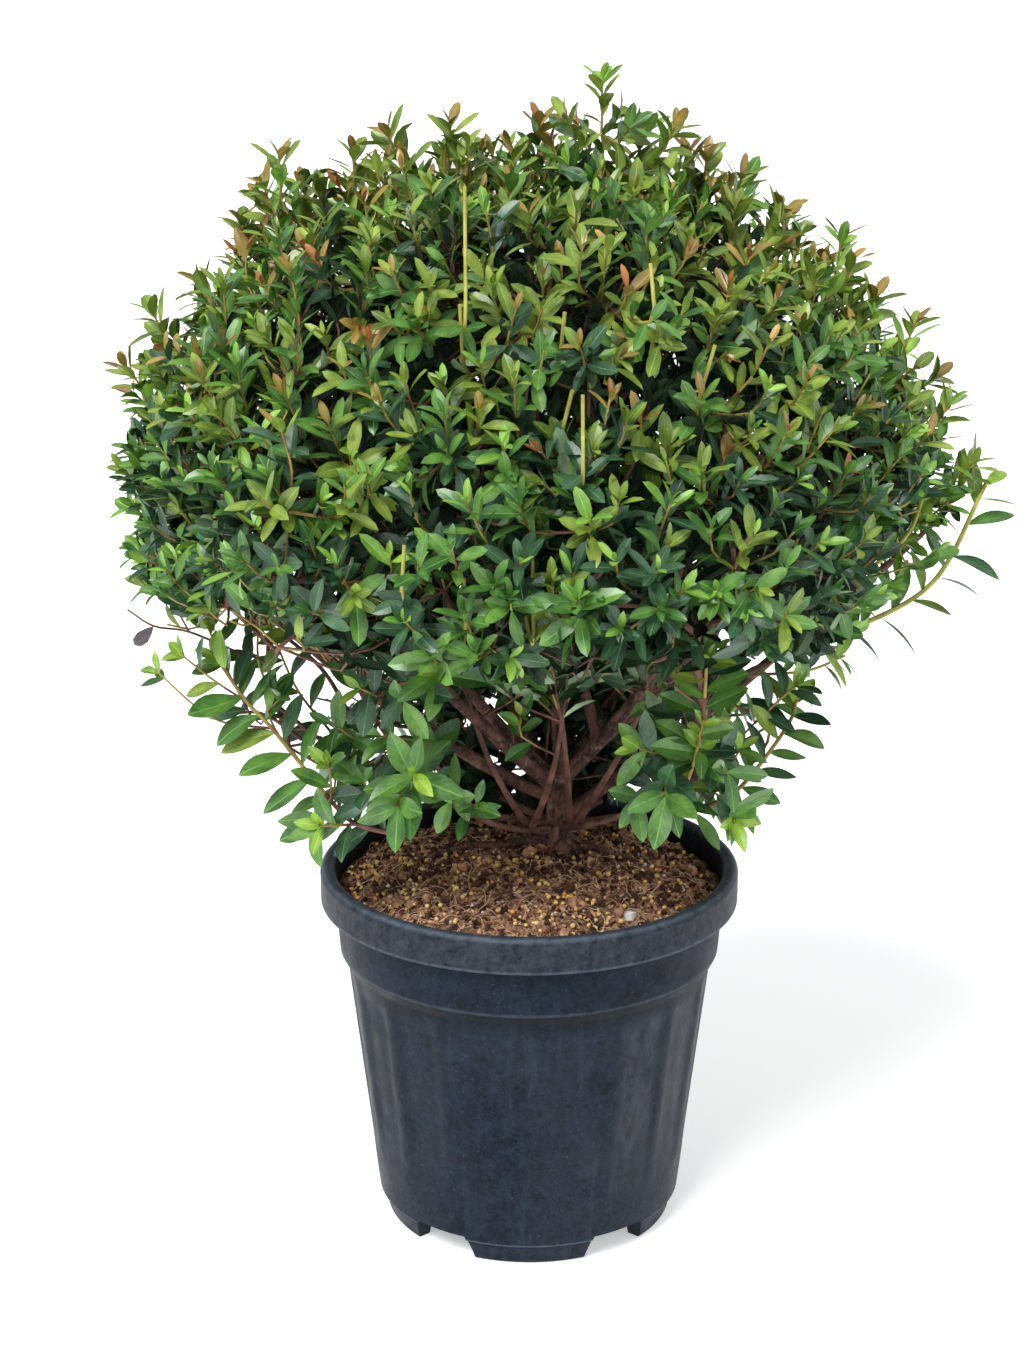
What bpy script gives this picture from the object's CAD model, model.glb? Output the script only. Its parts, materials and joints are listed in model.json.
"""The looks of the potted shrub: pot, compost, bark, and twigs and leaves grown by a seeded rule."""
import json
import math
from collections import namedtuple

import bmesh
import bpy
import numpy as np
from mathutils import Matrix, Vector, noise
from mathutils.bvhtree import BVHTree
from mathutils.kdtree import KDTree

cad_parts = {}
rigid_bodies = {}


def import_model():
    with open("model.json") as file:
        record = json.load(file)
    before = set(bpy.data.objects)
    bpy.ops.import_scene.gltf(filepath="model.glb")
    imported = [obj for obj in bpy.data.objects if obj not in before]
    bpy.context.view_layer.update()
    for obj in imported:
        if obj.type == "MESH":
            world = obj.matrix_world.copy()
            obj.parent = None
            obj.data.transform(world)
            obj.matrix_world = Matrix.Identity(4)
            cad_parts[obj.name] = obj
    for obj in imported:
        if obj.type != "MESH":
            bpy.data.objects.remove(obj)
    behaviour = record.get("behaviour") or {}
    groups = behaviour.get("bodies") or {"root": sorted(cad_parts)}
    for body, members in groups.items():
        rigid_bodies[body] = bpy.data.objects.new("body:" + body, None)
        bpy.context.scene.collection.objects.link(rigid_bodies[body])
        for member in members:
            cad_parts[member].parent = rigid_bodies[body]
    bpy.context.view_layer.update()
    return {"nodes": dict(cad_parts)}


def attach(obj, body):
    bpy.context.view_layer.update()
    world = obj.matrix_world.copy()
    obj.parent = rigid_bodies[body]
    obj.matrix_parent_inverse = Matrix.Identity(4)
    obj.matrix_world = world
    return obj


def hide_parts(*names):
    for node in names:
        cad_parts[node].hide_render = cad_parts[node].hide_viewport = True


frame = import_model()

RANDOM = np.random.default_rng(20)
# Blender seeds vector noise from the clock unless a seed is set. This one gives the solids' own sway.
SWAY_SEED = 1795837905
noise.seed_set(SWAY_SEED)
UP = np.array((0.0, 0.0, 1.0))
GOLDEN_TURN = math.pi * (3 - math.sqrt(5))

# Camera at the photograph's angle. The image is taken to be 1024 x 1366 pixels.
IMAGE_HEIGHT = 1366
FOCAL_PIXELS = 2612
SENSOR = 36.0
CAMERA_PLACE = (-0.0105, -1.5, 0.801)
CAMERA_PITCH = 17.05

# Light: an even pale surround, a large floor with a faint glow, and broad soft suns: name, direction
# that each comes from, strength and spread.
WORLD_COLOUR = (0.96, 0.98, 1.0, 1.0)
WORLD_STRENGTH = 0.52
FLOOR_REACH = 60.0
FLOOR_GLOW = 0.42
SUNS = (
    ("key", (-0.45, -0.70, 1.0), 3.0, 28),
    ("fill", (0.8, -0.9, 0.6), 0.45, 60),
)

# Pot, as in the solids, apart from the flutes on its sides.
WALL = 0.0025
RIM_TOP = 0.2275
RIM_BOTTOM = 0.2057
RIM_RADIUS = 0.128
RIM_FOOT_RADIUS = 0.1278
RIM_INNER_RADIUS = 0.1182
RIM_EDGE = 0.0009
LIP = 0.0046
BAND_BOTTOM = 0.1740
BAND_TOP_RADIUS = 0.1192
BAND_FOOT_RADIUS = 0.1166
SHOULDER_DROP = 0.0036
BODY_TOP_RADIUS = 0.1132
BODY_FOOT_RADIUS = 0.0943
BODY_FOOT_HEIGHT = 0.0145
LEDGE_HEIGHT = 0.0136
LEDGE_WIDTH = 0.0018
BASE_RADIUS = 0.0893
FOOT_ROUND = 0.0026
MIDDLE_RING = 0.02
NOTCH_COUNT = 5
NOTCH_ANGLE = math.radians(25)
NOTCH_HEIGHT = 0.0165
NOTCH_INNER_RADIUS = 0.068
FOOT_DEPTH = 0.0095
PANEL_ANGLE = math.radians(28)
FLUTE_ANGLE = math.radians(62 / 3)
FLUTE_DEPTH = 0.0017
FLUTE_START = (0.030, 0.085)
FLUTE_END = (0.155, 0.167)
DRAIN_RADIUS = 0.004
DRAIN_DISTANCE = 0.079
POT_TURNS = 216
# Its two tones, and marks of (height, level) for the shade in its creases and wear along its edges.
POT_TONES = ((0.38, "02060c"), (0.62, "1e2a3a"))
POT_CREASES = (
    (BAND_BOTTOM - 0.0160, 0.0), (BAND_BOTTOM - 0.0060, 0.55), (BAND_BOTTOM - 0.0006, 0.95),
    (BAND_BOTTOM + 0.0004, 0.0), (RIM_BOTTOM - 0.0060, 0.0), (RIM_BOTTOM - 0.0012, 0.80), (RIM_BOTTOM, 0.0),
)
POT_EDGES = (
    (LEDGE_HEIGHT - 0.0008, 0.0), (LEDGE_HEIGHT + 0.0004, 0.60), (LEDGE_HEIGHT + 0.0016, 0.0),
    (BAND_BOTTOM, 0.0), (BAND_BOTTOM + 0.0010, 0.22), (BAND_BOTTOM + 0.0028, 0.0),
    (RIM_BOTTOM - 0.0002, 0.0), (RIM_BOTTOM + 0.0010, 0.50), (RIM_BOTTOM + 0.0022, 0.0),
    (RIM_TOP - 0.0030, 0.0), (RIM_TOP - 0.0008, 0.55), (RIM_TOP, 0.15),
)

# Growing medium, as in the solids.
SOIL_EDGE = 0.213
SOIL_MOUND = 0.021
SOIL_REACH = 0.119
SOIL_FLAT = 0.042
# Its rough surface: rings and turns of points, drop below the solid's surface, and height and scale
# of each roughness. Below it, radius and height of the sides, which the pot hides.
SOIL_RINGS = 52
SOIL_TURNS = 192
SOIL_TOP_RADIUS = 0.1170
SOIL_DROP = 0.0022
SOIL_ROUGHNESS = ((0.0030, 55), (0.0018, 150), (0.0011, 420))
SOIL_SIDE = ((0.1150, 0.190), (0.1090, 0.160), (0.0915, 0.0205), (0.0900, 0.0195))
# What lies loose on it: how far out, clear of the trunk, and x, y and size of one large grit.
LITTER_REACH = 0.113
TRUNK_CLEARANCE = 0.013
LARGE_GRIT = (0.059, -0.073, 0.0042)
FIBRE_REACH = 0.1155
FIBRE_LIFT = 0.0005
FIBRE_RISE = (0.0005, 0.004)

# Trunk, roots and boughs, as in the solids.
GAP = 0.0003
TRUNK_FOOT = Vector((0.017, 0.020))
TRUNK_HEIGHT = 0.046
TRUNK_LEAN = Vector((0.002, 0.001))
TRUNK_SINK = 0.007
TRUNK_RADII = (0.0135, 0.0098, 0.0078, 0.0074, 0.0079, 0.0086, 0.0070)
BOUGH_STEPS = 8
BOUGH_SWAY = 0.16
# Roots: name, heading, turn, length, first and last radius.
ROOTS = (
    ("surface_root_left", 187, 14, 0.088, 0.0036, 0.0017),
    ("surface_root_right", 338, -16, 0.056, 0.0034, 0.0016),
)
# Boughs: name, parent and place along it, heading and rise at both ends, length, and radii.
BOUGHS = (
    ("bough_front_left", "trunk", 0.80, 224, 38, 214, 50, 0.150, 0.0048, 0.0030),
    ("bough_left", "trunk", 0.88, 172, 40, 164, 56, 0.150, 0.0042, 0.0028),
    ("bough_front_right", "trunk", 0.90, 352, 46, 324, 60, 0.140, 0.0051, 0.0032),
    ("bough_back", "trunk", 0.94, 96, 70, 102, 60, 0.125, 0.0046, 0.0030),
    ("bough_back_left", "trunk", 0.84, 132, 42, 138, 54, 0.160, 0.0043, 0.0028),
    ("bough_back_right", "trunk", 0.84, 46, 42, 42, 54, 0.160, 0.0044, 0.0028),
    ("bough_left_outer", "trunk", 0.66, 186, 26, 176, 48, 0.250, 0.0044, 0.0024),
    ("bough_right_outer", "trunk", 0.40, 4, 36, 352, 45, 0.310, 0.0046, 0.0017),
    ("bough_left_low", "trunk", 0.34, 197, 10, 192, 46, 0.200, 0.0038, 0.0020),
    ("bough_right_low", "trunk", 0.38, 338, 8, 342, 40, 0.140, 0.0036, 0.0020),
    ("bough_front_left_low", "trunk", 0.30, 238, 10, 226, 42, 0.135, 0.0036, 0.0022),
    ("bough_front_right_low", "trunk", 0.34, 298, 12, 308, 42, 0.120, 0.0036, 0.0022),
    ("bough_back_left_low", "trunk", 0.36, 150, 10, 140, 40, 0.155, 0.0036, 0.0022),
    ("bough_back_right_low", "trunk", 0.36, 36, 10, 44, 40, 0.145, 0.0036, 0.0022),
    ("bough_right", "bough_front_right", 0.17, 12, 40, 0, 52, 0.160, 0.0039, 0.0026),
    ("bough_middle", "bough_front_right", 0.25, 128, 74, 214, 56, 0.110, 0.0036, 0.0024),
)
LIMB_SPACING = 0.002
LIMB_VOXEL = 0.00125
BARK_RELIEF = 0.00055
LOW_BOUGH_SLIM = 0.72

# Branching rule: random places on the foliage solids, and the spacing of shoot tips over the head and
# the low sprays. Inner shoots and forks lie in layers below: depth, spread of depth, and spacing.
SURFACE_SAMPLES = 30000
TIP_SPACING = 0.0183
LOW_TIP_SPACING = 0.025
INNER_LAYERS = ((0.050, 0.010, 0.025), (0.085, 0.012, 0.034), (0.120, 0.014, 0.040))
FORK_LAYERS = ((0.052, 0.010, 0.034), (0.090, 0.014, 0.050), (0.130, 0.016, 0.075))
LOW_FORK_DEPTH = 0.024
LOW_FORK_SPACING = 0.034
# Depth of a tip below the solid's surface: of most tips, of the share that stands out, and of the
# share that is cut off, with its bare length.
TIP_DEPTH = (0.006, 0.022)
OUTSIDE_SHARE = 0.15
OUTSIDE_DEPTH = (-0.008, 0.004)
CUT_SHARE = 0.010
CUT_DEPTH = (-0.010, 0.002)
CUT_LENGTH = (0.025, 0.045)
# Leaf lengths, and how much larger leaves are on low shoots and low in the head.
LEAF_LENGTH = (0.0180, 0.0235)
INNER_LEAF_LENGTH = (0.021, 0.027)
EDGE_LEAF_LENGTH = (0.0195, 0.0225)
EDGE_SIDE_LEAF_LENGTH = (0.017, 0.020)
LOW_LARGER = 1.12
HEAD_LARGER = 0.13
# A place on a solid is open if the place this far outside it is in no other solid.
OPEN_TEST = 0.009
# Shoots lean away from the heart of the crown. Sprays turn their leaves flat towards the front.
CROWN_HEART = np.array((0.004, 0.0, 0.355))
TOWARD_FRONT = np.array((0.0, -1.6, 0.5))
FLATTEN = 0.55
TUFT = 5
# Height of the head's bare underside at the axis, and its rise outwards. More of both in front.
UNDERSIDE = (0.335, 0.30)
FRONT_UNDERSIDE = (0.004, 0.05)
TIP_CLEARANCE = 0.004
LEAF_SAG = 0.010
# Cost of a twig's turn, of the way back to the bough, and of a long stretch.
TURN_COST = 0.80
LENGTH_COST = 0.42
STRETCH_COST = 7.0
# Twigs: the foot of each bough that bears none, radii, spacing of points, and length of the green end.
BARE_SHARE = 0.5
SHOOT_RADIUS = 0.00080
TWIG_EXPONENT = 0.28
TWIG_MOST = 0.0027
CUT_RADIUS = 0.00105
TWIG_STEP = 0.010
LONG_STEP = 0.004
GREEN_LENGTH = 0.040
CUT_GREEN = 0.020

# The sprays that show singly. Their forks: x, y, z.
SPRAY_FORKS = (
    (-0.060, -0.090, 0.300), (-0.035, -0.080, 0.285), (-0.075, -0.100, 0.370), (0.090, -0.090, 0.305),
    (0.095, -0.110, 0.330), (0.095, -0.125, 0.365), (0.040, 0.000, 0.650), (0.040, 0.000, 0.665),
)
# Their shoots: x, y, z of the tip, heading and rise it points along, leaf length and number of leaves.
SPRAY_SHOOTS = (
    (-0.095, -0.090, 0.310, 285, 55, 0.028, 8), (-0.125, -0.080, 0.280, 210, -30, 0.030, 6),
    (-0.065, -0.120, 0.325, 280, 45, 0.033, 10), (-0.075, -0.120, 0.305, 245, -45, 0.030, 7),
    (-0.045, -0.100, 0.300, 305, -45, 0.026, 7), (-0.030, -0.100, 0.300, 325, 15, 0.023, 7),
    (-0.055, -0.080, 0.330, 310, 50, 0.030, 7), (-0.070, -0.130, 0.370, 245, -50, 0.032, 6),
    (-0.050, -0.140, 0.390, 280, 50, 0.030, 9), (-0.095, -0.120, 0.375, 230, 50, 0.028, 9),
    (-0.115, -0.060, 0.335, 210, 45, 0.025, 7), (-0.005, -0.060, 0.340, 270, 60, 0.020, 7),
    (-0.085, -0.100, 0.340, 215, 15, 0.026, 7), (0.060, -0.120, 0.340, 210, 15, 0.028, 9),
    (0.075, -0.130, 0.315, 285, -45, 0.034, 9), (0.060, -0.120, 0.310, 215, -30, 0.028, 7),
    (0.095, -0.120, 0.340, 305, 45, 0.028, 8), (0.120, -0.090, 0.330, 290, 60, 0.026, 8),
    (0.115, -0.110, 0.300, 310, -50, 0.031, 7), (0.085, -0.100, 0.360, 240, 55, 0.026, 8),
    (0.070, -0.070, 0.345, 220, 45, 0.024, 7), (0.110, -0.120, 0.325, 300, -45, 0.028, 7),
)
# The same for the topmost tip.
TOP_SHOOTS = (
    (0.040, 0.000, 0.695, 180, 90, 0.020, 12), (0.050, 0.000, 0.675, 350, 60, 0.018, 9),
    (0.035, 0.000, 0.665, 195, 70, 0.018, 9),
)
# Shoot tips along the outline seen from the front, from low on the left over the top: x, z. Their
# depth is random, and each has a shorter shoot at both sides.
EDGE_DEPTH = 0.03
EDGE_SIDE_DROP = (0.014, 0.026)
EDGE_SIDE_GAP = 0.010
EDGE_SHOOTS = (
    (-0.220, 0.410), (-0.230, 0.425), (-0.235, 0.445), (-0.230, 0.465), (-0.235, 0.480), (-0.220, 0.515),
    (-0.235, 0.530), (-0.215, 0.535), (-0.220, 0.560), (-0.200, 0.545), (-0.190, 0.570), (-0.185, 0.585),
    (-0.160, 0.605), (-0.165, 0.615), (-0.155, 0.630), (-0.150, 0.640), (-0.140, 0.655), (-0.130, 0.635),
    (-0.120, 0.635), (-0.100, 0.655), (-0.080, 0.665), (-0.070, 0.650), (-0.045, 0.670), (-0.035, 0.660),
    (-0.010, 0.655), (0.005, 0.670), (0.020, 0.675), (0.055, 0.670), (0.065, 0.665), (0.080, 0.670),
    (0.090, 0.655), (0.100, 0.650), (0.120, 0.640), (0.140, 0.625), (0.150, 0.615), (0.175, 0.610),
    (0.185, 0.590), (0.200, 0.570), (0.220, 0.560), (0.215, 0.535), (0.235, 0.525), (0.240, 0.515),
    (0.230, 0.495), (0.255, 0.480), (0.230, 0.455),
)
# Long shoots: kind, leaf length, number of leaves, radius at the foot, and the points they pass.
LONG_SHOOTS = (
    ("spray", 0.034, 22, 0.0015, (-0.075, -0.085, 0.275), (-0.100, -0.080, 0.280), (-0.115, -0.070, 0.290),
     (-0.150, -0.055, 0.330), (-0.165, -0.050, 0.345), (-0.185, -0.035, 0.370)),
    ("spray", 0.022, 5, 0.0008, (-0.150, -0.055, 0.330), (-0.185, -0.050, 0.335), (-0.220, -0.035, 0.360)),
    ("spray", 0.026, 8, 0.0009, (-0.115, -0.070, 0.290), (-0.115, -0.085, 0.320)),
    ("spray", 0.031, 7, 0.0010, (-0.100, -0.080, 0.280), (-0.110, -0.095, 0.285), (-0.120, -0.110, 0.290)),
    ("spray", 0.025, 8, 0.0008, (-0.165, -0.050, 0.345), (-0.185, -0.040, 0.355), (-0.205, -0.035, 0.370)),
    ("spray", 0.025, 11, 0.0009, (-0.145, -0.010, 0.320), (-0.160, -0.015, 0.355), (-0.160, -0.020, 0.385)),
    ("spray", 0.025, 11, 0.0009, (-0.120, 0.000, 0.310), (-0.140, -0.005, 0.340), (-0.155, -0.015, 0.385)),
    ("spray", 0.024, 9, 0.0008, (-0.165, -0.030, 0.330), (-0.180, -0.025, 0.360), (-0.190, -0.025, 0.385)),
    ("bare", 0, 0, 0.0008, (-0.170, -0.020, 0.365), (-0.200, -0.025, 0.380), (-0.220, -0.030, 0.385),
     (-0.235, -0.030, 0.395)),
    ("bare", 0, 0, 0.0006, (-0.200, -0.025, 0.380), (-0.210, -0.025, 0.400), (-0.220, -0.025, 0.420)),
    ("bare", 0, 0, 0.0020, (-0.095, 0.020, 0.325), (-0.140, 0.030, 0.365), (-0.180, 0.040, 0.395)),
    ("bare", 0, 0, 0.0015, (-0.110, 0.010, 0.320), (-0.130, 0.015, 0.350), (-0.180, 0.020, 0.390)),
    ("bare", 0, 0, 0.0017, (-0.090, 0.050, 0.320), (-0.125, 0.060, 0.360), (-0.160, 0.070, 0.400)),
    ("bare", 0, 0, 0.0012, (-0.135, -0.030, 0.315), (-0.160, -0.025, 0.330), (-0.190, -0.020, 0.325)),
    ("bare", 0, 0, 0.0024, (-0.085, 0.030, 0.315), (-0.115, 0.035, 0.335), (-0.170, 0.045, 0.380)),
    ("bare", 0, 0, 0.0017, (-0.145, -0.010, 0.305), (-0.155, -0.010, 0.350), (-0.155, -0.010, 0.375)),
    ("spray", 0.028, 20, 0.0015, (0.090, -0.090, 0.290), (0.110, -0.080, 0.295), (0.125, -0.075, 0.305),
     (0.150, -0.060, 0.335), (0.155, -0.050, 0.350)),
    ("spray", 0.026, 15, 0.0013, (0.080, -0.105, 0.295), (0.090, -0.115, 0.325), (0.095, -0.130, 0.360)),
    ("spray", 0.026, 11, 0.0012, (0.095, -0.130, 0.360), (0.095, -0.145, 0.400)),
    ("spray", 0.030, 5, 0.0009, (0.110, -0.080, 0.295), (0.115, -0.115, 0.295)),
    ("spray", 0.024, 11, 0.0009, (0.130, -0.060, 0.335), (0.155, -0.060, 0.360)),
    ("side", 0.030, 22, 0.0019, (0.125, -0.030, 0.355), (0.155, -0.030, 0.370), (0.185, -0.025, 0.380),
     (0.235, -0.025, 0.410), (0.265, -0.020, 0.470)),
    ("side", 0.027, 14, 0.0015, (0.155, -0.030, 0.370), (0.180, -0.035, 0.405), (0.215, -0.040, 0.440),
     (0.225, -0.040, 0.465)),
    ("side", 0.025, 11, 0.0011, (0.125, -0.030, 0.355), (0.165, -0.005, 0.350), (0.190, 0.010, 0.355)),
)
# A dead leaf that hangs from a bare shoot: its foot and the way it hangs.
DEAD_LEAF = ((-0.220, -0.030, 0.385), (-0.7, 0.0, -0.7))
# Open sky seen beside and through the head, as x, z on the middle plane: outlines, and the middle
# and half size of oval gaps.
OPEN_SKY = (
    ((-0.290, 0.410), (-0.240, 0.405), (-0.200, 0.375), (-0.160, 0.335), (-0.130, 0.290), (-0.120, 0.200),
     (-0.300, 0.200)),
    ((0.305, 0.200), (0.130, 0.200), (0.135, 0.300), (0.140, 0.325), (0.160, 0.345), (0.190, 0.360),
     (0.220, 0.390), (0.255, 0.420), (0.290, 0.455)),
    ((0.125, 0.675), (0.125, 0.645), (0.160, 0.620), (0.180, 0.600), (0.205, 0.580), (0.225, 0.560),
     (0.275, 0.560), (0.270, 0.675)),
    ((0.230, 0.455), (0.250, 0.455), (0.250, 0.440), (0.240, 0.425), (0.220, 0.405), (0.210, 0.410),
     (0.225, 0.430)),
    ((-0.105, 0.320), (-0.150, 0.350), (-0.170, 0.370), (-0.160, 0.385), (-0.120, 0.360), (-0.095, 0.335)),
)
SKY_GAPS = (
    (-0.180, 0.380, 0.012, 0.012), (-0.130, 0.325, 0.010, 0.014),
    (-0.095, 0.306, 0.011, 0.011), (-0.065, 0.311, 0.009, 0.008), (-0.035, 0.317, 0.007, 0.006),
    (0.087, 0.313, 0.006, 0.018),
)
# Dark shoots in the shade behind the trunk: how many, and the middle and half size of their oval.
BACK_SHOOTS = 120
BACK_CENTRE = np.array((0.003, 0.088, 0.298))
BACK_REACH = np.array((0.122, 0.052, 0.068))
# Slender stems that rise steeply from the lower boughs: how many, length, and rise at both ends.
STEMS = 8
STEM_LENGTH = (0.070, 0.120)
STEM_RISE = ((40, 62), (62, 82))
STEM_RADII = (0.0023, 0.0013)
# Bare shoots cut off above the leaves: x, y, z of the cut end, and the bare length.
CUT_SHOOTS = (
    (-0.035, -0.130, 0.650, 0.075), (0.025, -0.205, 0.555, 0.040), (-0.065, -0.215, 0.480, 0.030),
    (-0.035, -0.205, 0.460, 0.035), (0.060, -0.165, 0.615, 0.030), (0.000, -0.205, 0.470, 0.045),
)
# The sprays that show singly. The two at the sides also bear a small share of random shoots.
SIDE_SPRAYS = ("foliage_low_left", "foliage_low_right")
SIDE_SPRAY_SHARE = 0.02
SINGLE_SPRAYS = (
    *SIDE_SPRAYS, "foliage_low_front_left", "foliage_low_front_right", "foliage_outlying_right",
    "foliage_topmost_tip",
)
Tip = namedtuple("Tip", "place lean group layer size count")

# Leaf outline: stations along the blade and the half width at each, as shares.
FINE_OUTLINE = ((0.13, 0.38), (0.34, 0.86), (0.60, 1.00), (0.86, 0.66))
PLAIN_OUTLINE = ((0.20, 0.52), (0.54, 1.00), (0.85, 0.74))
LARGE_OUTLINE = (
    (0.06, 0.24), (0.16, 0.52), (0.30, 0.82), (0.45, 0.98), (0.59, 1.00), (0.73, 0.85), (0.86, 0.55),
    (0.95, 0.25),
)
RIB_HALF_WIDTH = 0.055
VEIN_SHARE = 0.10
# Leaf colours: two blade tones and the rib.
LEAF_COLOURS = {
    "dark": ("1a3a22", "38603e", "648a62"),
    "mid": ("305c26", "5c8c38", "82ac58"),
    "fresh": ("578a2e", "8bb646", "aac868"),
    "lime": ("5c8a28", "8fb43a", "b4cc64"),
    "olive": ("567024", "86a03c", "a8b262"),
    "bronze": ("74602a", "a48c40", "b89c54"),
    "russet": ("7a4c26", "a8743a", "b88a58"),
    "pale": ("6c8866", "9ab48e", "b8c8a2"),
    "inner": ("102214", "1f3c22", "4a6a3c"),
    "dead": ("463a42", "6e5f68", "8a7a80"),
}
RIBLESS = ("inner", "pale", "dead")
# Colours that also come as larger leaves with a finer outline, for the low sprays.
LARGE = ("dark", "mid", "lime", "olive")
# Roughness and gloss of leaves.
LEAF_FINISH = (0.32, 0.60)
OTHER_FINISHES = {"inner": (0.55, 0.25), "pale": (0.40, 0.45)}
# For each kind of shoot: length over which leaves sit, least spread at the tip and spread lower down
# (degrees), droop, width against length, and pull of the blade to face outwards and along the shoot.
Kind = namedtuple("Kind", "reach least most droop ratio face_out face_ahead")
SHOOT_KINDS = {
    "head": Kind(0.044, 22, 48, 0.00, 0.335, 0.25, 1.0),
    "low": Kind(0.042, 24, 50, 0.12, 0.360, 0.35, 1.0),
    "edge": Kind(0.042, 24, 48, 0.00, 0.360, 0.10, 1.0),
    "spray": Kind(0.026, 24, 60, 0.14, 0.390, 0.90, 0.3),
    "side": Kind(0.026, 26, 54, 0.30, 0.300, 0.20, 0.3),
    "cut": Kind(0.040, 25, 48, 0.00, 0.330, 0.25, 1.0),
    "bare": Kind(0.010, 25, 48, 0.00, 0.330, 0.25, 1.0),
}
INNER_REACH = 0.034
# Twigs by piece: material, two tones, roughness and scale of the blotches.
WOOD = {
    "twigs": ("twig_brown", "442a22", "84594a", 0.75, 90),
    "shoots": ("shoot_olive", "7e5a30", "a89a4c", 0.55, 60),
    "cut_shoots": ("shoot_yellow", "868430", "b6b258", 0.55, 80),
}


# Materials

def rgba(colour):
    """Linear colour from a hexadecimal sRGB code, or a grey from its level."""
    if isinstance(colour, float):
        return (colour, colour, colour, 1.0)
    parts = [int(colour[i : i + 2], 16) / 255 for i in (0, 2, 4)]
    return (*(p / 12.92 if p <= 0.04045 else ((p + 0.055) / 1.055) ** 2.4 for p in parts), 1.0)


class Nodes:
    """A small helper for building a material's node tree."""

    def __init__(self, name):
        self.material = bpy.data.materials.new(name)
        self.material.use_nodes = True
        self.tree = self.material.node_tree
        self.shader = self.tree.nodes["Principled BSDF"]
        self.place = self.add("TexCoord").outputs["Object"]

    def add(self, kind, inputs=(), **settings):
        """A new node with its settings, and what feeds its inputs by name or number."""
        node = self.tree.nodes.new("ShaderNode" + kind)
        for key, value in settings.items():
            setattr(node, key, value)
        for key, value in dict(inputs).items():
            self.feed(node.inputs[key], value)
        return node

    def feed(self, socket, value):
        """Links a source to a socket, or sets a plain value there."""
        if isinstance(value, bpy.types.NodeSocket):
            self.tree.links.new(value, socket)
        else:
            socket.default_value = rgba(value) if socket.type == "RGBA" else value

    def set(self, **values):
        """Feeds the shader's inputs, with underscores for the blanks in their names."""
        for key, value in values.items():
            self.feed(self.shader.inputs[key.replace("_", " ")], value)

    def noise(self, scale, detail=4.0, roughness=0.55, stretch=None):
        place = self.place
        if stretch:
            place = self.add("Mapping", {"Vector": place, "Scale": stretch}).outputs["Vector"]
        inputs = {"Vector": place, "Scale": scale, "Detail": detail, "Roughness": roughness}
        return self.add("TexNoise", inputs).outputs["Fac"]

    def ramp(self, factor, *stops):
        node = self.add("ValToRGB", {"Fac": factor})
        elements = node.color_ramp.elements
        while len(elements) < len(stops):
            elements.new(0.5)
        for element, (position, colour) in zip(elements, stops):
            element.position = position
            element.color = rgba(colour)
        return node.outputs["Color"]

    def mix(self, factor, first, second):
        return self.add("Mix", {0: factor, 6: first, 7: second}, data_type="RGBA").outputs[2]

    def span(self, factor, low, high, to_low=0.0, to_high=1.0):
        """Maps one span of numbers to another."""
        return self.add("MapRange", enumerate((factor, low, high, to_low, to_high))).outputs[0]

    def maths(self, operation, *values):
        return self.add("Math", enumerate(values), operation=operation).outputs[0]

    def times(self, first, *others):
        for other in others:
            first = self.maths("MULTIPLY", first, other)
        return first

    def attribute(self, name, output="Fac"):
        return self.add("Attribute", attribute_name=name).outputs[output]

    def split(self, source):
        return self.add("SeparateXYZ", {0: source}).outputs

    def bump(self, height, strength, distance=0.0004):
        bump = self.add("Bump", {"Height": height, "Strength": strength, "Distance": distance})
        self.set(Normal=bump.outputs["Normal"])


def plant_material(name, dark, light, roughness, scale=60.0, specular=0.5, bump=0.25, leaf=False):
    """A living surface: two tones blotched at a small scale, with a fine bump."""
    nodes = Nodes(name)
    colour = nodes.ramp(nodes.noise(scale, 5.0), (0.34, dark), (0.66, light))
    if leaf:
        colour = leaf_tones(nodes, colour, light)
    nodes.set(Base_Color=colour, Roughness=roughness, Specular_IOR_Level=specular)
    nodes.bump(nodes.noise(scale * 16, 3.0), bump)
    return nodes.material


def leaf_tones(nodes, colour, light):
    """Tones a colour leaf by leaf, with side veins, a darker edge and a lighter foot."""
    run, across, tone = nodes.split(nodes.attribute("blade", "Vector"))
    wave = nodes.maths("SUBTRACT", nodes.times(run, 38.0), nodes.times(across, 13.0))
    veins = nodes.span(nodes.maths("SINE", wave), 0.60, 1.0, 0.0, VEIN_SHARE)
    colour = nodes.mix(veins, colour, nodes.mix(0.5, light, "c8d8a8"))
    hue = nodes.span(tone, 0.0, 1.0, 0.487, 0.513)
    by_leaf = nodes.span(tone, 0.0, 1.0, 1.34, 0.74)
    to_edge = nodes.span(across, 0.35, 1.0, 1.06, 0.84)
    from_foot = nodes.span(run, 0.0, 0.6, 1.12, 0.98)
    inputs = {"Hue": hue, "Value": nodes.times(by_leaf, to_edge, from_foot), "Color": colour}
    return nodes.add("HueSaturation", inputs).outputs["Color"]


def leaf_materials(colour):
    """A blade's material, and a rib's unless the leaf has none."""
    dark, light, rib = LEAF_COLOURS[colour]
    name = "leaf_" + colour
    rough, gloss = OTHER_FINISHES.get(colour, LEAF_FINISH)
    materials = [plant_material(name, dark, light, rough, 75.0, gloss, leaf=True)]
    if colour not in RIBLESS:
        materials.append(plant_material(name + "_rib", rib, light, 0.5, 70.0, 0.4))
    return materials


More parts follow.
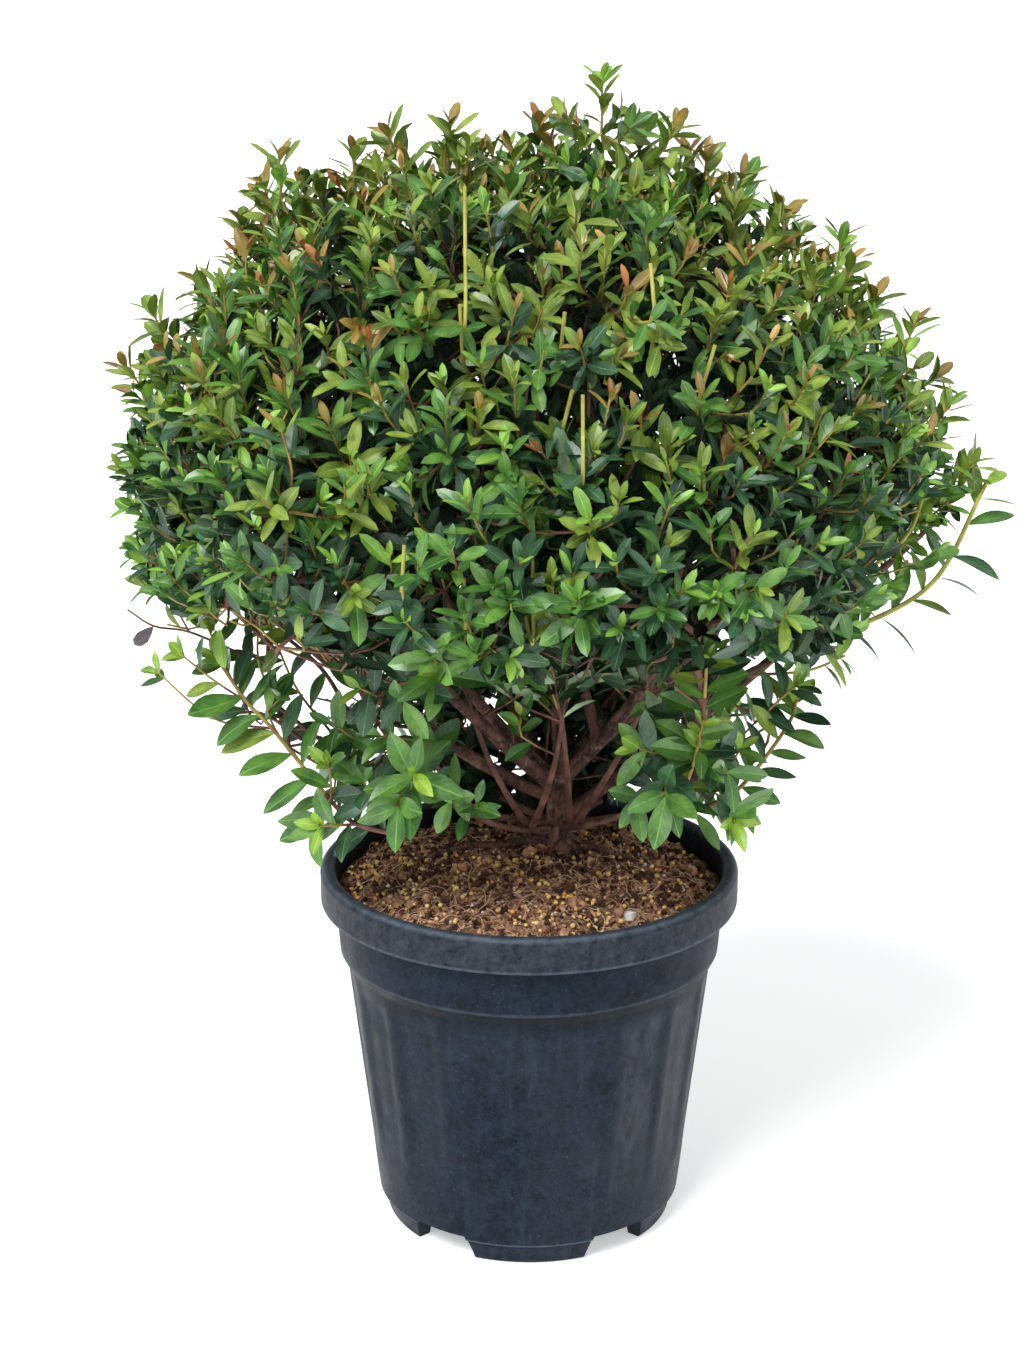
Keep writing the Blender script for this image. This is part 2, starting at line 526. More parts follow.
def plastic_material():
    """Dark moulded plastic with fine mottling, upright scuffs, dust, and wear along its edges."""
    nodes = Nodes("plastic_dark")
    x, _, height = nodes.split(nodes.place)

    def marked(marks):
        """A level that changes with height, from marks of (height, level)."""
        stops = [(mark / RIM_TOP, level) for mark, level in marks]
        return nodes.ramp(nodes.span(height, 0.0, RIM_TOP), *stops)

    mottle = nodes.ramp(nodes.noise(75.0, 12.0, 0.80), *POT_TONES)
    look = nodes.mix(0.55, mottle, nodes.ramp(nodes.noise(250.0, 8.0, 0.75), *POT_TONES))
    below_band = nodes.span(height, BAND_BOTTOM - 0.004, BAND_BOTTOM, 1.0, 0.12)
    below = nodes.times(below_band, nodes.span(x, -0.09, 0.0, 0.15, 1.0))
    dust = nodes.span(nodes.noise(13.0, 11.0, 0.72), 0.44, 0.80, 0.0, 0.42)
    look = nodes.mix(nodes.times(dust, below), look, "3a4048")
    streak = nodes.span(nodes.noise(120.0, 6.0, 0.6, (1.0, 1.0, 0.05)), 0.52, 0.80, 0.0, 0.30)
    look = nodes.mix(nodes.times(streak, below), look, "434f5d")
    patch = nodes.span(nodes.noise(30.0, 11.0, 0.80, (1.0, 1.0, 0.4)), 0.40, 0.66, 0.03, 0.62)
    side = nodes.span(x, -0.09, 0.07, 0.05, 1.12)
    look = nodes.mix(nodes.times(nodes.attribute("grime"), patch, side), look, "54565a")
    grit = nodes.noise(150.0, 10.0, 0.75)
    rim = nodes.span(height, RIM_BOTTOM, RIM_BOTTOM + 0.002, 0.0, 0.72)
    look = nodes.mix(nodes.times(rim, nodes.span(grit, 0.34, 0.68)), look, "43454a")
    look = nodes.mix(marked(POT_CREASES), look, "06090d")
    worn = nodes.times(marked(POT_EDGES), nodes.span(grit, 0.30, 0.58, 0.30, 1.0))
    look = nodes.mix(worn, look, "6c7a8a")
    specks = nodes.span(nodes.noise(520.0, 3.0), 0.64, 0.78, 0.0, 0.5)
    rough = nodes.span(nodes.noise(60.0, 9.0, 0.7), 0.30, 0.75, 0.38, 0.60)
    nodes.set(Base_Color=nodes.mix(specks, look, "565652"), Roughness=rough, Specular_IOR_Level=0.11)
    nodes.bump(nodes.noise(1100.0), 0.18)
    return nodes.material


def soil_material():
    nodes = Nodes("compost_dark")
    tones = ((0.36, "180d08"), (0.44, "80503a"), (0.53, "e6aa7e"), (0.63, "fff0d8"))
    base = nodes.ramp(nodes.noise(330.0, 10.0, 0.78), *tones)
    patch = nodes.span(nodes.noise(34.0, 5.0), 0.40, 0.60)
    nodes.set(Base_Color=nodes.mix(patch, nodes.mix(0.58, base, "24160e"), base), Roughness=0.95)
    nodes.bump(nodes.noise(700.0, 8.0, 0.7), 1.0, 0.003)
    return nodes.material


def bark_material():
    nodes = Nodes("bark_brown")
    base = nodes.ramp(nodes.noise(45.0, 6.0, 0.6), (0.28, "422822"), (0.50, "704b3f"), (0.74, "a07a6a"))
    shaded = nodes.mix(nodes.span(nodes.attribute("relief"), 0.25, 0.62), "34201a", base)
    flakes = nodes.span(nodes.noise(380.0, 6.0, stretch=(1.0, 1.0, 0.35)), 0.55, 0.8, 0.0, 0.5)
    nodes.set(Base_Color=nodes.mix(flakes, shaded, "b79a8c"), Roughness=0.82)
    nodes.bump(nodes.noise(950.0, 6.0, 0.65, (1.0, 1.0, 0.5)), 0.6, 0.0012)
    return nodes.material


# Meshes

def add_object(name, data):
    obj = bpy.data.objects.new(name, data)
    bpy.context.scene.collection.objects.link(obj)
    return obj


def add_mesh(name, points, faces, materials=(), face_slots=None, sharp=None):
    """A smooth object from points and faces, with sharp edges above an angle in degrees if asked."""
    mesh = bpy.data.meshes.new(name)
    if isinstance(faces, np.ndarray):
        faces = faces.tolist()
    mesh.from_pydata(np.asarray(points, float).tolist(), [], faces)
    for material in materials:
        mesh.materials.append(material)
    if face_slots is not None:
        mesh.polygons.foreach_set("material_index", np.asarray(face_slots, np.int32))
    mesh.shade_smooth()
    if sharp is not None:
        mesh.set_sharp_from_angle(angle=math.radians(sharp))
    return add_object(name, mesh)


def evaluated(obj, name):
    """Replaces an object by a plain mesh with its modifiers applied."""
    bpy.context.view_layer.update()
    mesh = bpy.data.meshes.new_from_object(obj.evaluated_get(bpy.context.evaluated_depsgraph_get()))
    bpy.data.objects.remove(obj, do_unlink=True)
    mesh.name = name
    return add_object(name, mesh)


def mesh_points(mesh):
    points = np.empty(len(mesh.vertices) * 3, np.float32)
    mesh.vertices.foreach_get("co", points)
    return points.reshape(-1, 3)


def set_attribute(mesh, name, values, kind="FLOAT", prop="value"):
    attribute = mesh.attributes.new(name, kind, "POINT")
    attribute.data.foreach_set(prop, values.astype(np.float32).ravel())


def ring_quads(rings, turns):
    """Faces between rings that each have the same number of points."""
    lower = np.arange((rings - 1) * turns).reshape(-1, turns)
    after = np.roll(lower, -1, axis=1)
    return np.stack((lower, after, after + turns, lower + turns), axis=-1).reshape(-1, 4)


def fan(start, turns, centre):
    """Triangles between a ring, which begins at the point numbered start, and its centre point."""
    ring = start + np.arange(turns)
    return np.stack((ring, np.roll(ring, -1), np.full(turns, centre)), axis=-1)


def circle(radius, turns):
    angles = [math.tau * step / turns for step in range(turns)]
    return [(radius * math.cos(angle), radius * math.sin(angle)) for angle in angles]


def unit(vectors):
    return vectors / np.maximum(np.linalg.norm(vectors, axis=-1, keepdims=True), 1e-12)


def smooth_step(value, low, high):
    t = np.clip((value - low) / (high - low), 0, 1)
    return t * t * (3 - 2 * t)


def resample(path, spacing, values):
    """Catmull-Rom curve through a path, with points about evenly spaced, and values beside it."""
    path = np.asarray(path, float)
    ends = np.vstack((2 * path[0] - path[1], path, 2 * path[-1] - path[-2]))
    points, marks = [], []
    for index in range(len(path) - 1):
        before, first, second, after = ends[index : index + 4]
        square = 2 * before - 5 * first + 4 * second - after
        cube = 3 * first - before - 3 * second + after
        count = max(1, int(round(np.linalg.norm(second - first) / spacing)))
        for step in range(count):
            t = step / count
            points.append(0.5 * (2 * first + (second - before) * t + square * t * t + cube * t ** 3))
            marks.append(index + t)
    points.append(path[-1])
    marks.append(len(path) - 1)
    return np.array(points), np.interp(marks, np.arange(len(path)), values)


def distances_along(path):
    return np.concatenate(([0], np.cumsum(np.linalg.norm(np.diff(path, axis=0), axis=1))))


def frames_along(path):
    """Tangents and two sideways directions that turn as little as they can."""
    tangents = unit(np.gradient(path, axis=0))
    side = np.cross(tangents[0], (0.31, 0.95, 0.05))
    sides = np.empty_like(path)
    for index, tangent in enumerate(tangents):
        side = side - tangent * side.dot(tangent)
        side = side / max(np.linalg.norm(side), 1e-9)
        sides[index] = side
    return tangents, sides, np.cross(tangents, sides)


class Tubes:
    """Many tapering tubes, gathered into one mesh of triangles."""

    def __init__(self):
        self.points = []
        self.faces = []
        self.count = 0

    def add(self, path, radii, turns):
        _, side, across = frames_along(path)
        angles = (np.arange(turns) * math.tau / turns)[None, :, None]
        outward = side[:, None, :] * np.cos(angles) + across[:, None, :] * np.sin(angles)
        rings = path[:, None, :] + outward * radii[:, None, None]
        self.points.append(np.vstack((rings.reshape(-1, 3), path[:1], path[-1:])))
        quads = ring_quads(len(path), turns)
        foot_centre = len(path) * turns
        foot = fan(0, turns, foot_centre)[:, (1, 0, 2)]
        head = fan(foot_centre - turns, turns, foot_centre + 1)
        self.faces.append(np.vstack((quads[:, (0, 1, 2)], quads[:, (0, 2, 3)], foot, head)) + self.count)
        self.count += foot_centre + 2

    def make(self, name, material, sharp=50):
        return add_mesh(name, np.vstack(self.points), np.vstack(self.faces), [material], sharp=sharp)


# Camera, light and floor

def make_camera():
    data = bpy.data.cameras.new("camera")
    data.sensor_width = SENSOR
    data.lens = FOCAL_PIXELS / IMAGE_HEIGHT * SENSOR
    data.clip_start = 0.05
    camera = add_object("camera", data)
    camera.location = CAMERA_PLACE
    camera.rotation_euler = (math.radians(90 - CAMERA_PITCH), 0, 0)
    bpy.context.scene.camera = camera


def make_floor():
    nodes = Nodes("floor_pale")
    colour = nodes.ramp(nodes.noise(3.0, 2.0), (0.3, "fbfbfb"), (0.7, "fdfdfd"))
    nodes.set(Base_Color=colour, Roughness=0.9, Specular_IOR_Level=0.0)
    nodes.set(Emission_Color="ffffff", Emission_Strength=FLOOR_GLOW)
    corners = [(FLOOR_REACH * x, FLOOR_REACH * y, 0) for x, y in ((-1, -1), (1, -1), (1, 1), (-1, 1))]
    floor = add_mesh("floor", corners, [[0, 1, 2, 3]], [nodes.material])


def make_light():
    world = bpy.data.worlds.new("studio")
    world.use_nodes = True
    background = world.node_tree.nodes["Background"].inputs
    background["Color"].default_value = WORLD_COLOUR
    background["Strength"].default_value = WORLD_STRENGTH
    bpy.context.scene.world = world
    bpy.context.scene.view_settings.view_transform = "Standard"
    for name, place, strength, spread in SUNS:
        data = bpy.data.lights.new(name, "SUN")
        data.energy = strength
        data.angle = math.radians(spread)
        sun = add_object(name, data)
        sun.rotation_euler = Vector(place).to_track_quat("Z", "Y").to_euler()


# Pot

def arc(centre, radius, start, end, count):
    """Points on a circular arc in the (radius, height) plane, angles in degrees."""
    angles = np.radians(np.linspace(start, end, count))
    return [(centre[0] + radius * math.cos(a), centre[1] + radius * math.sin(a)) for a in angles]


def straight(first, last, count):
    """Points from just after the first end up to the last."""
    steps = np.linspace(0, 1, count + 1)[1:]
    return [(first[0] + (last[0] - first[0]) * t, first[1] + (last[1] - first[1]) * t) for t in steps]


def pot_profile():
    """The pot's outside and inside as one run, from the middle of the underside and back."""
    shoulder = BAND_BOTTOM - SHOULDER_DROP
    foot_top = BODY_FOOT_RADIUS - LEDGE_WIDTH
    floor = NOTCH_HEIGHT + WALL
    rim_foot = RIM_FOOT_RADIUS - RIM_EDGE
    run = straight((MIDDLE_RING, 0), (BASE_RADIUS - 0.0030, 0), 6)
    run += arc((BASE_RADIUS - FOOT_ROUND, FOOT_ROUND), FOOT_ROUND, -75, 0, 5)
    run += straight((BASE_RADIUS, 0.0030), (foot_top - 0.0002, LEDGE_HEIGHT - 0.0012), 4)
    run += [(foot_top, LEDGE_HEIGHT - 0.0003), (foot_top + 0.0003, LEDGE_HEIGHT)]
    run += [(BODY_FOOT_RADIUS - 0.0006, LEDGE_HEIGHT + 0.0001)]
    run += [(BODY_FOOT_RADIUS - 0.0001, LEDGE_HEIGHT + 0.0005)]
    run += straight((BODY_FOOT_RADIUS, BODY_FOOT_HEIGHT), (BODY_TOP_RADIUS - 0.0006, shoulder - 0.003), 34)
    run += [(BODY_TOP_RADIUS + 0.0002, shoulder - 0.0008), (BODY_TOP_RADIUS + 0.0018, shoulder + 0.0012)]
    run += [(BAND_FOOT_RADIUS - 0.0007, BAND_BOTTOM - 0.0006)]
    run += [(BAND_FOOT_RADIUS - 0.0001, BAND_BOTTOM + 0.0004)]
    band_foot = (BAND_FOOT_RADIUS, BAND_BOTTOM + 0.0010)
    run += straight(band_foot, (BAND_TOP_RADIUS - 0.0003, RIM_BOTTOM - 0.0015), 8)
    run += [(BAND_TOP_RADIUS + 0.0002, RIM_BOTTOM - 0.0003), (BAND_TOP_RADIUS + 0.0012, RIM_BOTTOM)]
    run += straight((BAND_TOP_RADIUS + 0.0012, RIM_BOTTOM), (rim_foot, RIM_BOTTOM), 3)
    run += arc((rim_foot, RIM_BOTTOM + RIM_EDGE), RIM_EDGE, -60, 0, 4)
    run += straight((RIM_FOOT_RADIUS, RIM_BOTTOM + RIM_EDGE), (RIM_RADIUS - 0.0001, RIM_TOP - LIP), 6)
    run += arc((RIM_RADIUS - LIP, RIM_TOP - LIP), LIP, 8, 90, 10)
    run += arc((RIM_INNER_RADIUS + LIP, RIM_TOP - LIP), LIP, 96, 175, 8)
    inside = (
        (RIM_INNER_RADIUS, RIM_TOP - LIP - 0.0005, 0), (BAND_TOP_RADIUS - WALL, RIM_BOTTOM, 5),
        (BAND_FOOT_RADIUS - WALL, BAND_BOTTOM, 4), (BODY_TOP_RADIUS - WALL, shoulder, 2),
        (BODY_FOOT_RADIUS - WALL, floor, 12), (MIDDLE_RING, floor, 6),
    )
    for (*first, _), (*last, count) in zip(inside, inside[1:]):
        run += straight(first, last, count)
    return run


def flute_depth(angle, height):
    """Shallow upright flutes on both sides of the body, between plain front and back panels."""
    from_front = np.abs((angle + math.pi) % math.pi - math.pi / 2)
    run = (from_front - PANEL_ANGLE) / FLUTE_ANGLE
    across = run % 1.0
    dip = smooth_step(across, 0.03, 0.22) * (1 - smooth_step(across, 0.72, 0.93))
    dip = np.where((run < 0) | (run > 3), 0, dip)
    level = smooth_step(height, *FLUTE_START) * (1 - smooth_step(height, *FLUTE_END))
    return FLUTE_DEPTH * dip * level


def make_pot():
    radius, height = np.array(pot_profile()).T[:, :, None]
    rings, turns = len(radius), POT_TURNS
    outside = np.arange(rings) < int(np.argmax(height > RIM_BOTTOM - 0.001))
    turn = (np.arange(turns) * math.tau / turns)[None, :]
    radius = radius - flute_depth(turn, height) * outside[:, None]
    x, y = radius * np.cos(turn), radius * np.sin(turn)
    points = np.stack((x, y, np.broadcast_to(height, x.shape)), axis=-1).reshape(-1, 3)
    centre = len(points)
    points = np.vstack((points, ((0, 0, 0), (0, 0, height[-1, 0]))))
    low, high = fan(0, turns, centre)[:, (1, 0, 2)], fan(centre - turns, turns, centre + 1)
    faces = ring_quads(rings, turns).tolist() + np.hstack((low, high)).reshape(-1, 3).tolist()
    body = add_mesh("pot_shell", points, faces)
    cutter = add_mesh("notch_cutter", *notch_cutters())
    modifier = body.modifiers.new("Notches", "BOOLEAN")
    modifier.operation = "DIFFERENCE"
    modifier.solver = "EXACT"
    modifier.object = cutter
    pot = evaluated(body, "pot_shell")
    bpy.data.objects.remove(cutter, do_unlink=True)
    mesh = pot.data
    mesh.materials.clear()
    mesh.materials.append(plastic_material())
    x, y, z = mesh_points(mesh).T
    set_attribute(mesh, "grime", flute_depth(np.arctan2(y, x), z) / FLUTE_DEPTH)
    mesh.shade_smooth()
    mesh.set_sharp_from_angle(angle=math.radians(40))
    return pot


def notch_cutters():
    """Blocks for the drainage notches, wider behind the feet and at their foot, and rods for the
    drainage holes, as points and faces."""
    points = []
    faces = []

    def block(low, high):
        start, count = len(points), len(low)
        points.extend(low)
        points.extend(high)
        faces.append([start + i for i in reversed(range(count))])
        faces.append([start + count + i for i in range(count)])
        for i in range(count):
            j = (i + 1) % count
            faces.append([start + i, start + j, start + count + j, start + count + i])

    back = BASE_RADIUS - FOOT_DEPTH
    outline = (
        (NOTCH_INNER_RADIUS, 1.7, (1, 0.5, 0, -0.5, -1)), (back, 1.7, (-1,)), (back, 1.0, (-1,)),
        (BODY_TOP_RADIUS, 1.0, (-1, -0.5, 0, 0.5, 1)), (back, 1.0, (1,)), (back, 1.7, (1,)),
    )
    for index in range(NOTCH_COUNT):
        heading = -math.pi / 2 + math.tau / NOTCH_COUNT * (index + 0.5)
        rows = []
        for height, flare in ((-0.004, 0.045), (NOTCH_HEIGHT, -0.02)):
            row = []
            for radius, spread, sides in outline:
                for side in sides:
                    angle = heading + side * (spread * NOTCH_ANGLE / 2 + flare)
                    row.append((radius * math.cos(angle), radius * math.sin(angle), height))
            rows.append(row)
        block(*rows)
        x, y = DRAIN_DISTANCE * math.cos(heading), DRAIN_DISTANCE * math.sin(heading)
        ring = [(x + right, y + back_by) for right, back_by in circle(DRAIN_RADIUS, 20)]
        block(*([(*p, height) for p in ring] for height in (NOTCH_HEIGHT - 0.001, NOTCH_HEIGHT + 2 * WALL)))
    return points, faces


# Growing medium

def soil_height(x, y):
    distance = np.maximum(np.hypot(x, y), SOIL_FLAT)
    return SOIL_EDGE + SOIL_MOUND * (1 - (distance / SOIL_REACH) ** 2)


def soil_surface(x, y):
    """Height of the rough surface, kept below the solid's own surface at its edge."""
    place = Vector((x, y, 0.0))
    rough = sum(height * noise.noise(place * scale) for height, scale in SOIL_ROUGHNESS)
    return float(soil_height(x, y)) - SOIL_DROP + rough


def make_soil():
    points = [(0.0, 0.0, soil_surface(0, 0))]
    for ring in range(1, SOIL_RINGS + 1):
        places = circle(SOIL_TOP_RADIUS * ring / SOIL_RINGS, SOIL_TURNS)
        points += [(x, y, soil_surface(x, y)) for x, y in places]
    for radius, height in SOIL_SIDE:
        points += [(x, y, height) for x, y in circle(radius, SOIL_TURNS)]
    points.append((0, 0, SOIL_SIDE[-1][1]))
    rings = SOIL_RINGS + len(SOIL_SIDE)
    quads = ring_quads(rings, SOIL_TURNS)[:, (0, 3, 2, 1)] + 1
    top = fan(1, SOIL_TURNS, 0)[:, (2, 0, 1)]
    bottom = fan(1 + (rings - 1) * SOIL_TURNS, SOIL_TURNS, len(points) - 1)[:, (1, 0, 2)]
    faces = top.tolist() + quads.tolist() + bottom.tolist()
    return add_mesh("compost", points, faces, [soil_material()])


def lump_shape(detail):
    shape = bmesh.new()
    bmesh.ops.create_icosphere(shape, subdivisions=detail, radius=1)
    points = np.array([v.co for v in shape.verts])
    faces = np.array([[v.index for v in f.verts] for f in shape.faces])
    shape.free()
    return points, faces


def scatter(count, clump=None):
    """Random places on the growing medium, clear of the trunk, and in patches if asked."""
    places = []
    while len(places) < count:
        radius = LITTER_REACH * math.sqrt(RANDOM.random())
        angle = math.tau * RANDOM.random()
        x, y = radius * math.cos(angle), radius * math.sin(angle)
        if math.hypot(x - TRUNK_FOOT.x, y - TRUNK_FOOT.y) < TRUNK_CLEARANCE:
            continue
        if clump and noise.noise(Vector((x, y, clump)) * 42) < RANDOM.uniform(-0.15, 0.25):
            continue
        places.append((x, y, soil_surface(x, y)))
    return np.array(places)


def random_turns(count):
    """Random rotation matrices."""
    axes = unit(RANDOM.normal(size=(count, 3)))
    other = unit(np.cross(axes, unit(RANDOM.normal(size=(count, 3)))))
    return np.stack((axes, other, np.cross(axes, other)), axis=1)


def make_lumps(name, count, sizes, flatness, detail, roughness, material, sink=0.3, clump=None, first=None):
    """Joined small lumps on the growing medium: beads, crumbs or chips. The first may be given."""
    base, faces = lump_shape(detail)
    places = scatter(count, clump)
    size = RANDOM.uniform(*sizes, count)
    if first:
        x, y, size[0] = first
        places[0] = (x, y, soil_surface(x, y))
    broad = size * RANDOM.uniform(flatness, 1, count)
    scale = np.stack((size, broad, size * RANDOM.uniform(flatness * 0.7, 1, count)), axis=-1)
    jitter = 1 + roughness * RANDOM.normal(size=(count, len(base), 1))
    local = base[None] * jitter * scale[:, None, :]
    points = np.einsum("nvi,nij->nvj", local, random_turns(count)) + places[:, None, :]
    points[:, :, 2] += (size * (1 - sink))[:, None] * 0.6
    joined = (faces[None] + (np.arange(count) * len(base))[:, None, None]).reshape(-1, 3)
    return add_mesh(name, points.reshape(-1, 3), joined, [material], sharp=35 if roughness else None)


def make_fibres(name, count, lengths, radius, material):
    """Thin curved fibres that lie on the growing medium and rise a little in the middle."""
    tubes = Tubes()
    steps = 6
    for x, y, _ in scatter(count):
        heading = math.tau * RANDOM.random()
        length = RANDOM.uniform(*lengths)
        bend = RANDOM.normal() * 1.6
        rise = RANDOM.uniform(*FIBRE_RISE)
        points = []
        for step in range(steps + 1):
            t = step / steps
            distance = math.hypot(x, y)
            if distance > FIBRE_REACH:
                x, y = x * FIBRE_REACH / distance, y * FIBRE_REACH / distance
            points.append((x, y, soil_surface(x, y) + FIBRE_LIFT + rise * math.sin(math.pi * t)))
            x += math.cos(heading + bend * t) * length / steps
            y += math.sin(heading + bend * t) * length / steps
        radii = np.full(steps + 1, radius * RANDOM.uniform(0.6, 1.3))
        tubes.add(*resample(points, length / 9, radii), 4)
    return tubes.make(name, material)


def make_litter():
    """Everything loose that lies on the growing medium."""
    dark = plant_material("crumb_dark", "160c08", "6a4230", 0.95, 300)
    earth = plant_material("crumb_brown", "9a6446", "ffd4ac", 0.95, 300)
    chips = plant_material("chip_brown", "583628", "e4ac84", 0.9, 220)
    gold = plant_material("bead_gold", "f0a630", "ffe8a4", 0.18, 160, 0.7, 0.05)
    white = plant_material("bead_white", "e6e4de", "ffffff", 0.8, 240)
    straw = plant_material("fibre_tan", "bc8058", "ffe0c0", 0.85, 120)
    return [
        make_lumps("crumbs_dark", 1300, (0.0009, 0.0030), 0.35, 1, 0.28, dark),
        make_lumps("crumbs", 1500, (0.0005, 0.0015), 0.35, 1, 0.28, earth),
        make_lumps("bark_chips", 320, (0.0014, 0.0044), 0.14, 1, 0.24, chips),
        make_lumps("fertiliser_beads", 430, (0.00115, 0.0016), 0.94, 2, 0.0, gold, sink=-1.0, clump=3.1),
        make_lumps("white_grit", 70, (0.0006, 0.0014), 0.7, 2, 0.10, white, sink=0.0, first=LARGE_GRIT),
        make_fibres("fibres", 480, (0.006, 0.026), 0.00019, straw),
    ]


# Trunk and boughs

def heading_vector(heading, rise):
    flat = math.cos(math.radians(rise))
    turn = math.radians(heading)
    return Vector((flat * math.cos(turn), flat * math.sin(turn), math.sin(math.radians(rise))))


def bough_path(start, heading0, rise0, heading1, rise1, length, key):
    """The same rule and sway as the solids: an even turn from first direction to last."""
    path = [start.copy()]
    turn = (heading1 - heading0 + 180) % 360 - 180
    for step in range(BOUGH_STEPS):
        part = (step + 0.5) / BOUGH_STEPS
        ahead = heading_vector(heading0 + turn * part, rise0 + (rise1 - rise0) * part)
        sway = noise.noise_vector(Vector((key * 3.7, part * 4.0, 0.5))) * BOUGH_SWAY * part
        path.append(path[-1] + (ahead + sway).normalized() * (length / BOUGH_STEPS))
    return path


def trunk_path():
    foot = Vector((*TRUNK_FOOT, float(soil_height(*TRUNK_FOOT)) + GAP))
    top = foot + Vector((*TRUNK_LEAN, TRUNK_HEIGHT))
    steps = len(TRUNK_RADII) - 1
    return [foot.lerp(top, (index / steps) ** 1.3) for index in range(steps + 1)]


def root_path(heading, turn, length, radii):
    point = TRUNK_FOOT.copy()
    steps = len(radii) - 1
    path = []
    for index, radius in enumerate(radii):
        angle = math.radians(heading + turn * index / steps)
        path.append(Vector((*point, soil_surface(*point) + radius * 0.95)))
        point = point + Vector((math.cos(angle), math.sin(angle))) * (length / steps)
    return path


def along(path, place):
    position = place * (len(path) - 1)
    index = min(int(position), len(path) - 2)
    return path[index].lerp(path[index + 1], position - index)


def limb_paths():
    """Name, smooth path and radii of the trunk, roots and boughs."""
    coarse = {"trunk": trunk_path()}
    sunk = coarse["trunk"][0] - Vector((0, 0, TRUNK_SINK))
    rows = [("trunk", [sunk, *coarse["trunk"]], (TRUNK_RADII[0] * 1.1, *TRUNK_RADII))]
    for name, heading, turn, length, first, last in ROOTS:
        radii = np.linspace(first, last, BOUGH_STEPS)
        rows.append((name, root_path(heading, turn, length, radii), radii))
    for key, (name, parent, place, *course, first, last) in enumerate(BOUGHS):
        coarse[name] = bough_path(along(coarse[parent], place), *course, key)
        slim = LOW_BOUGH_SLIM if name.endswith("_low") else 1.0
        rows.append((name, coarse[name], np.linspace(first, last, len(coarse[name])) * slim))
    return [(name, *resample(path, LIMB_SPACING, radii)) for name, path, radii in rows]


def make_limbs(limbs):
    """One skin over trunk, roots and boughs, with bark relief pushed into the mesh."""
    tubes = Tubes()
    samples = []
    for index, (_, path, radii) in enumerate(limbs):
        steps = np.arange(len(path))
        wobble = np.array([noise.noise(Vector((step * 0.09, index * 5.1, 0))) for step in steps])
        tubes.add(path, radii * (1 + 0.09 * wobble), 14)
        samples.append(np.column_stack((path, np.full(len(path), index), steps * LIMB_SPACING)))
    rough = tubes.make("limb_core", bark_material(), sharp=None)
    modifier = rough.modifiers.new("Skin", "REMESH")
    modifier.mode = "VOXEL"
    modifier.voxel_size = LIMB_VOXEL
    modifier.use_smooth_shade = True
    smooth = rough.modifiers.new("Ease", "SMOOTH")
    smooth.factor = 0.5
    smooth.iterations = 2
    limb = evaluated(rough, "limbs")
    relieve_bark(limb.data, np.vstack(samples))
    return limb


def relieve_bark(mesh, samples):
    """Pushes ridges, flakes and nodes into the skin, and keeps the relief as an attribute. The samples
    hold places along the limbs, the limb's number and the distance along it."""
    points = mesh_points(mesh).astype(float)
    normals = np.empty(points.size, np.float32)
    mesh.vertex_normals.foreach_get("vector", normals)
    tree = KDTree(len(samples))
    for index, sample in enumerate(samples):
        tree.insert(sample[:3], index)
    tree.balance()
    relief = np.empty(len(points))
    for index, point in enumerate(points):
        _, near, _ = tree.find(point)
        key, run = samples[near, 3:]
        around = Vector((point - samples[near, :3]) * 900)
        ridges = noise.noise(Vector((around.x * 0.45, around.y * 0.45, run * 60 + key * 9)))
        flakes = noise.noise(Vector(point * 520))
        knots = noise.noise(Vector((run * 150, key * 3.3, 1.0)))
        relief[index] = 0.55 * ridges + 0.30 * flakes + 0.35 * max(knots - 0.15, 0)
    points += normals.reshape(-1, 3).astype(float) * (relief * BARK_RELIEF)[:, None]
    mesh.vertices.foreach_set("co", points.astype(np.float32).ravel())
    set_attribute(mesh, "relief", np.clip(relief + 0.5, 0, 1))
    mesh.update()


# Branching rule

class Masses:
    """The foliage solids of the frame, for finding their open surface and their inside."""

    def __init__(self):
        self.names = sorted(name for name in frame["nodes"] if name.startswith("foliage_"))
        self.trees = []
        self.boxes = []
        self.surfaces = []
        for name in self.names:
            mesh = frame["nodes"][name].data
            mesh.calc_loop_triangles()
            points = mesh_points(mesh).astype(float)
            corners = np.array([triangle.vertices for triangle in mesh.loop_triangles])
            self.trees.append(BVHTree.FromPolygons(points.tolist(), corners.tolist()))
            self.boxes.append((points.min(0), points.max(0)))
            self.surfaces.append(points[corners])

    def inside(self, point, leave_out=-1):
        for index, (low, high) in enumerate(self.boxes):
            if index == leave_out or (point < low).any() or (point > high).any():
                continue
            place, normal, _, _ = self.trees[index].find_nearest(point)
            if place is not None and (Vector(point) - place).dot(normal) < 0:
                return True
        return False

    def open_surface(self, count):
        """Random places on the solids' open surface: place, outward direction, name of the solid."""
        a, b, c = np.concatenate(self.surfaces).transpose(1, 0, 2)
        owner = np.repeat(np.arange(len(self.names)), [len(surface) for surface in self.surfaces])
        cross = np.cross(b - a, c - a)
        chance = np.linalg.norm(cross, axis=1) / 2
        pick = RANDOM.choice(len(chance), count, p=chance / chance.sum())
        u, v = RANDOM.random((2, count))
        fold = u + v > 1
        u, v = np.where(fold, 1 - u, u), np.where(fold, 1 - v, v)
        places = a[pick] + (b[pick] - a[pick]) * u[:, None] + (c[pick] - a[pick]) * v[:, None]
        normals, owner = unit(cross)[pick], owner[pick]
        free = np.array([
            not self.inside(place + normal * OPEN_TEST, leave_out=index)
            for place, normal, index in zip(places, normals, owner)
        ])
        return places[free], normals[free], np.array(self.names)[owner[free]]


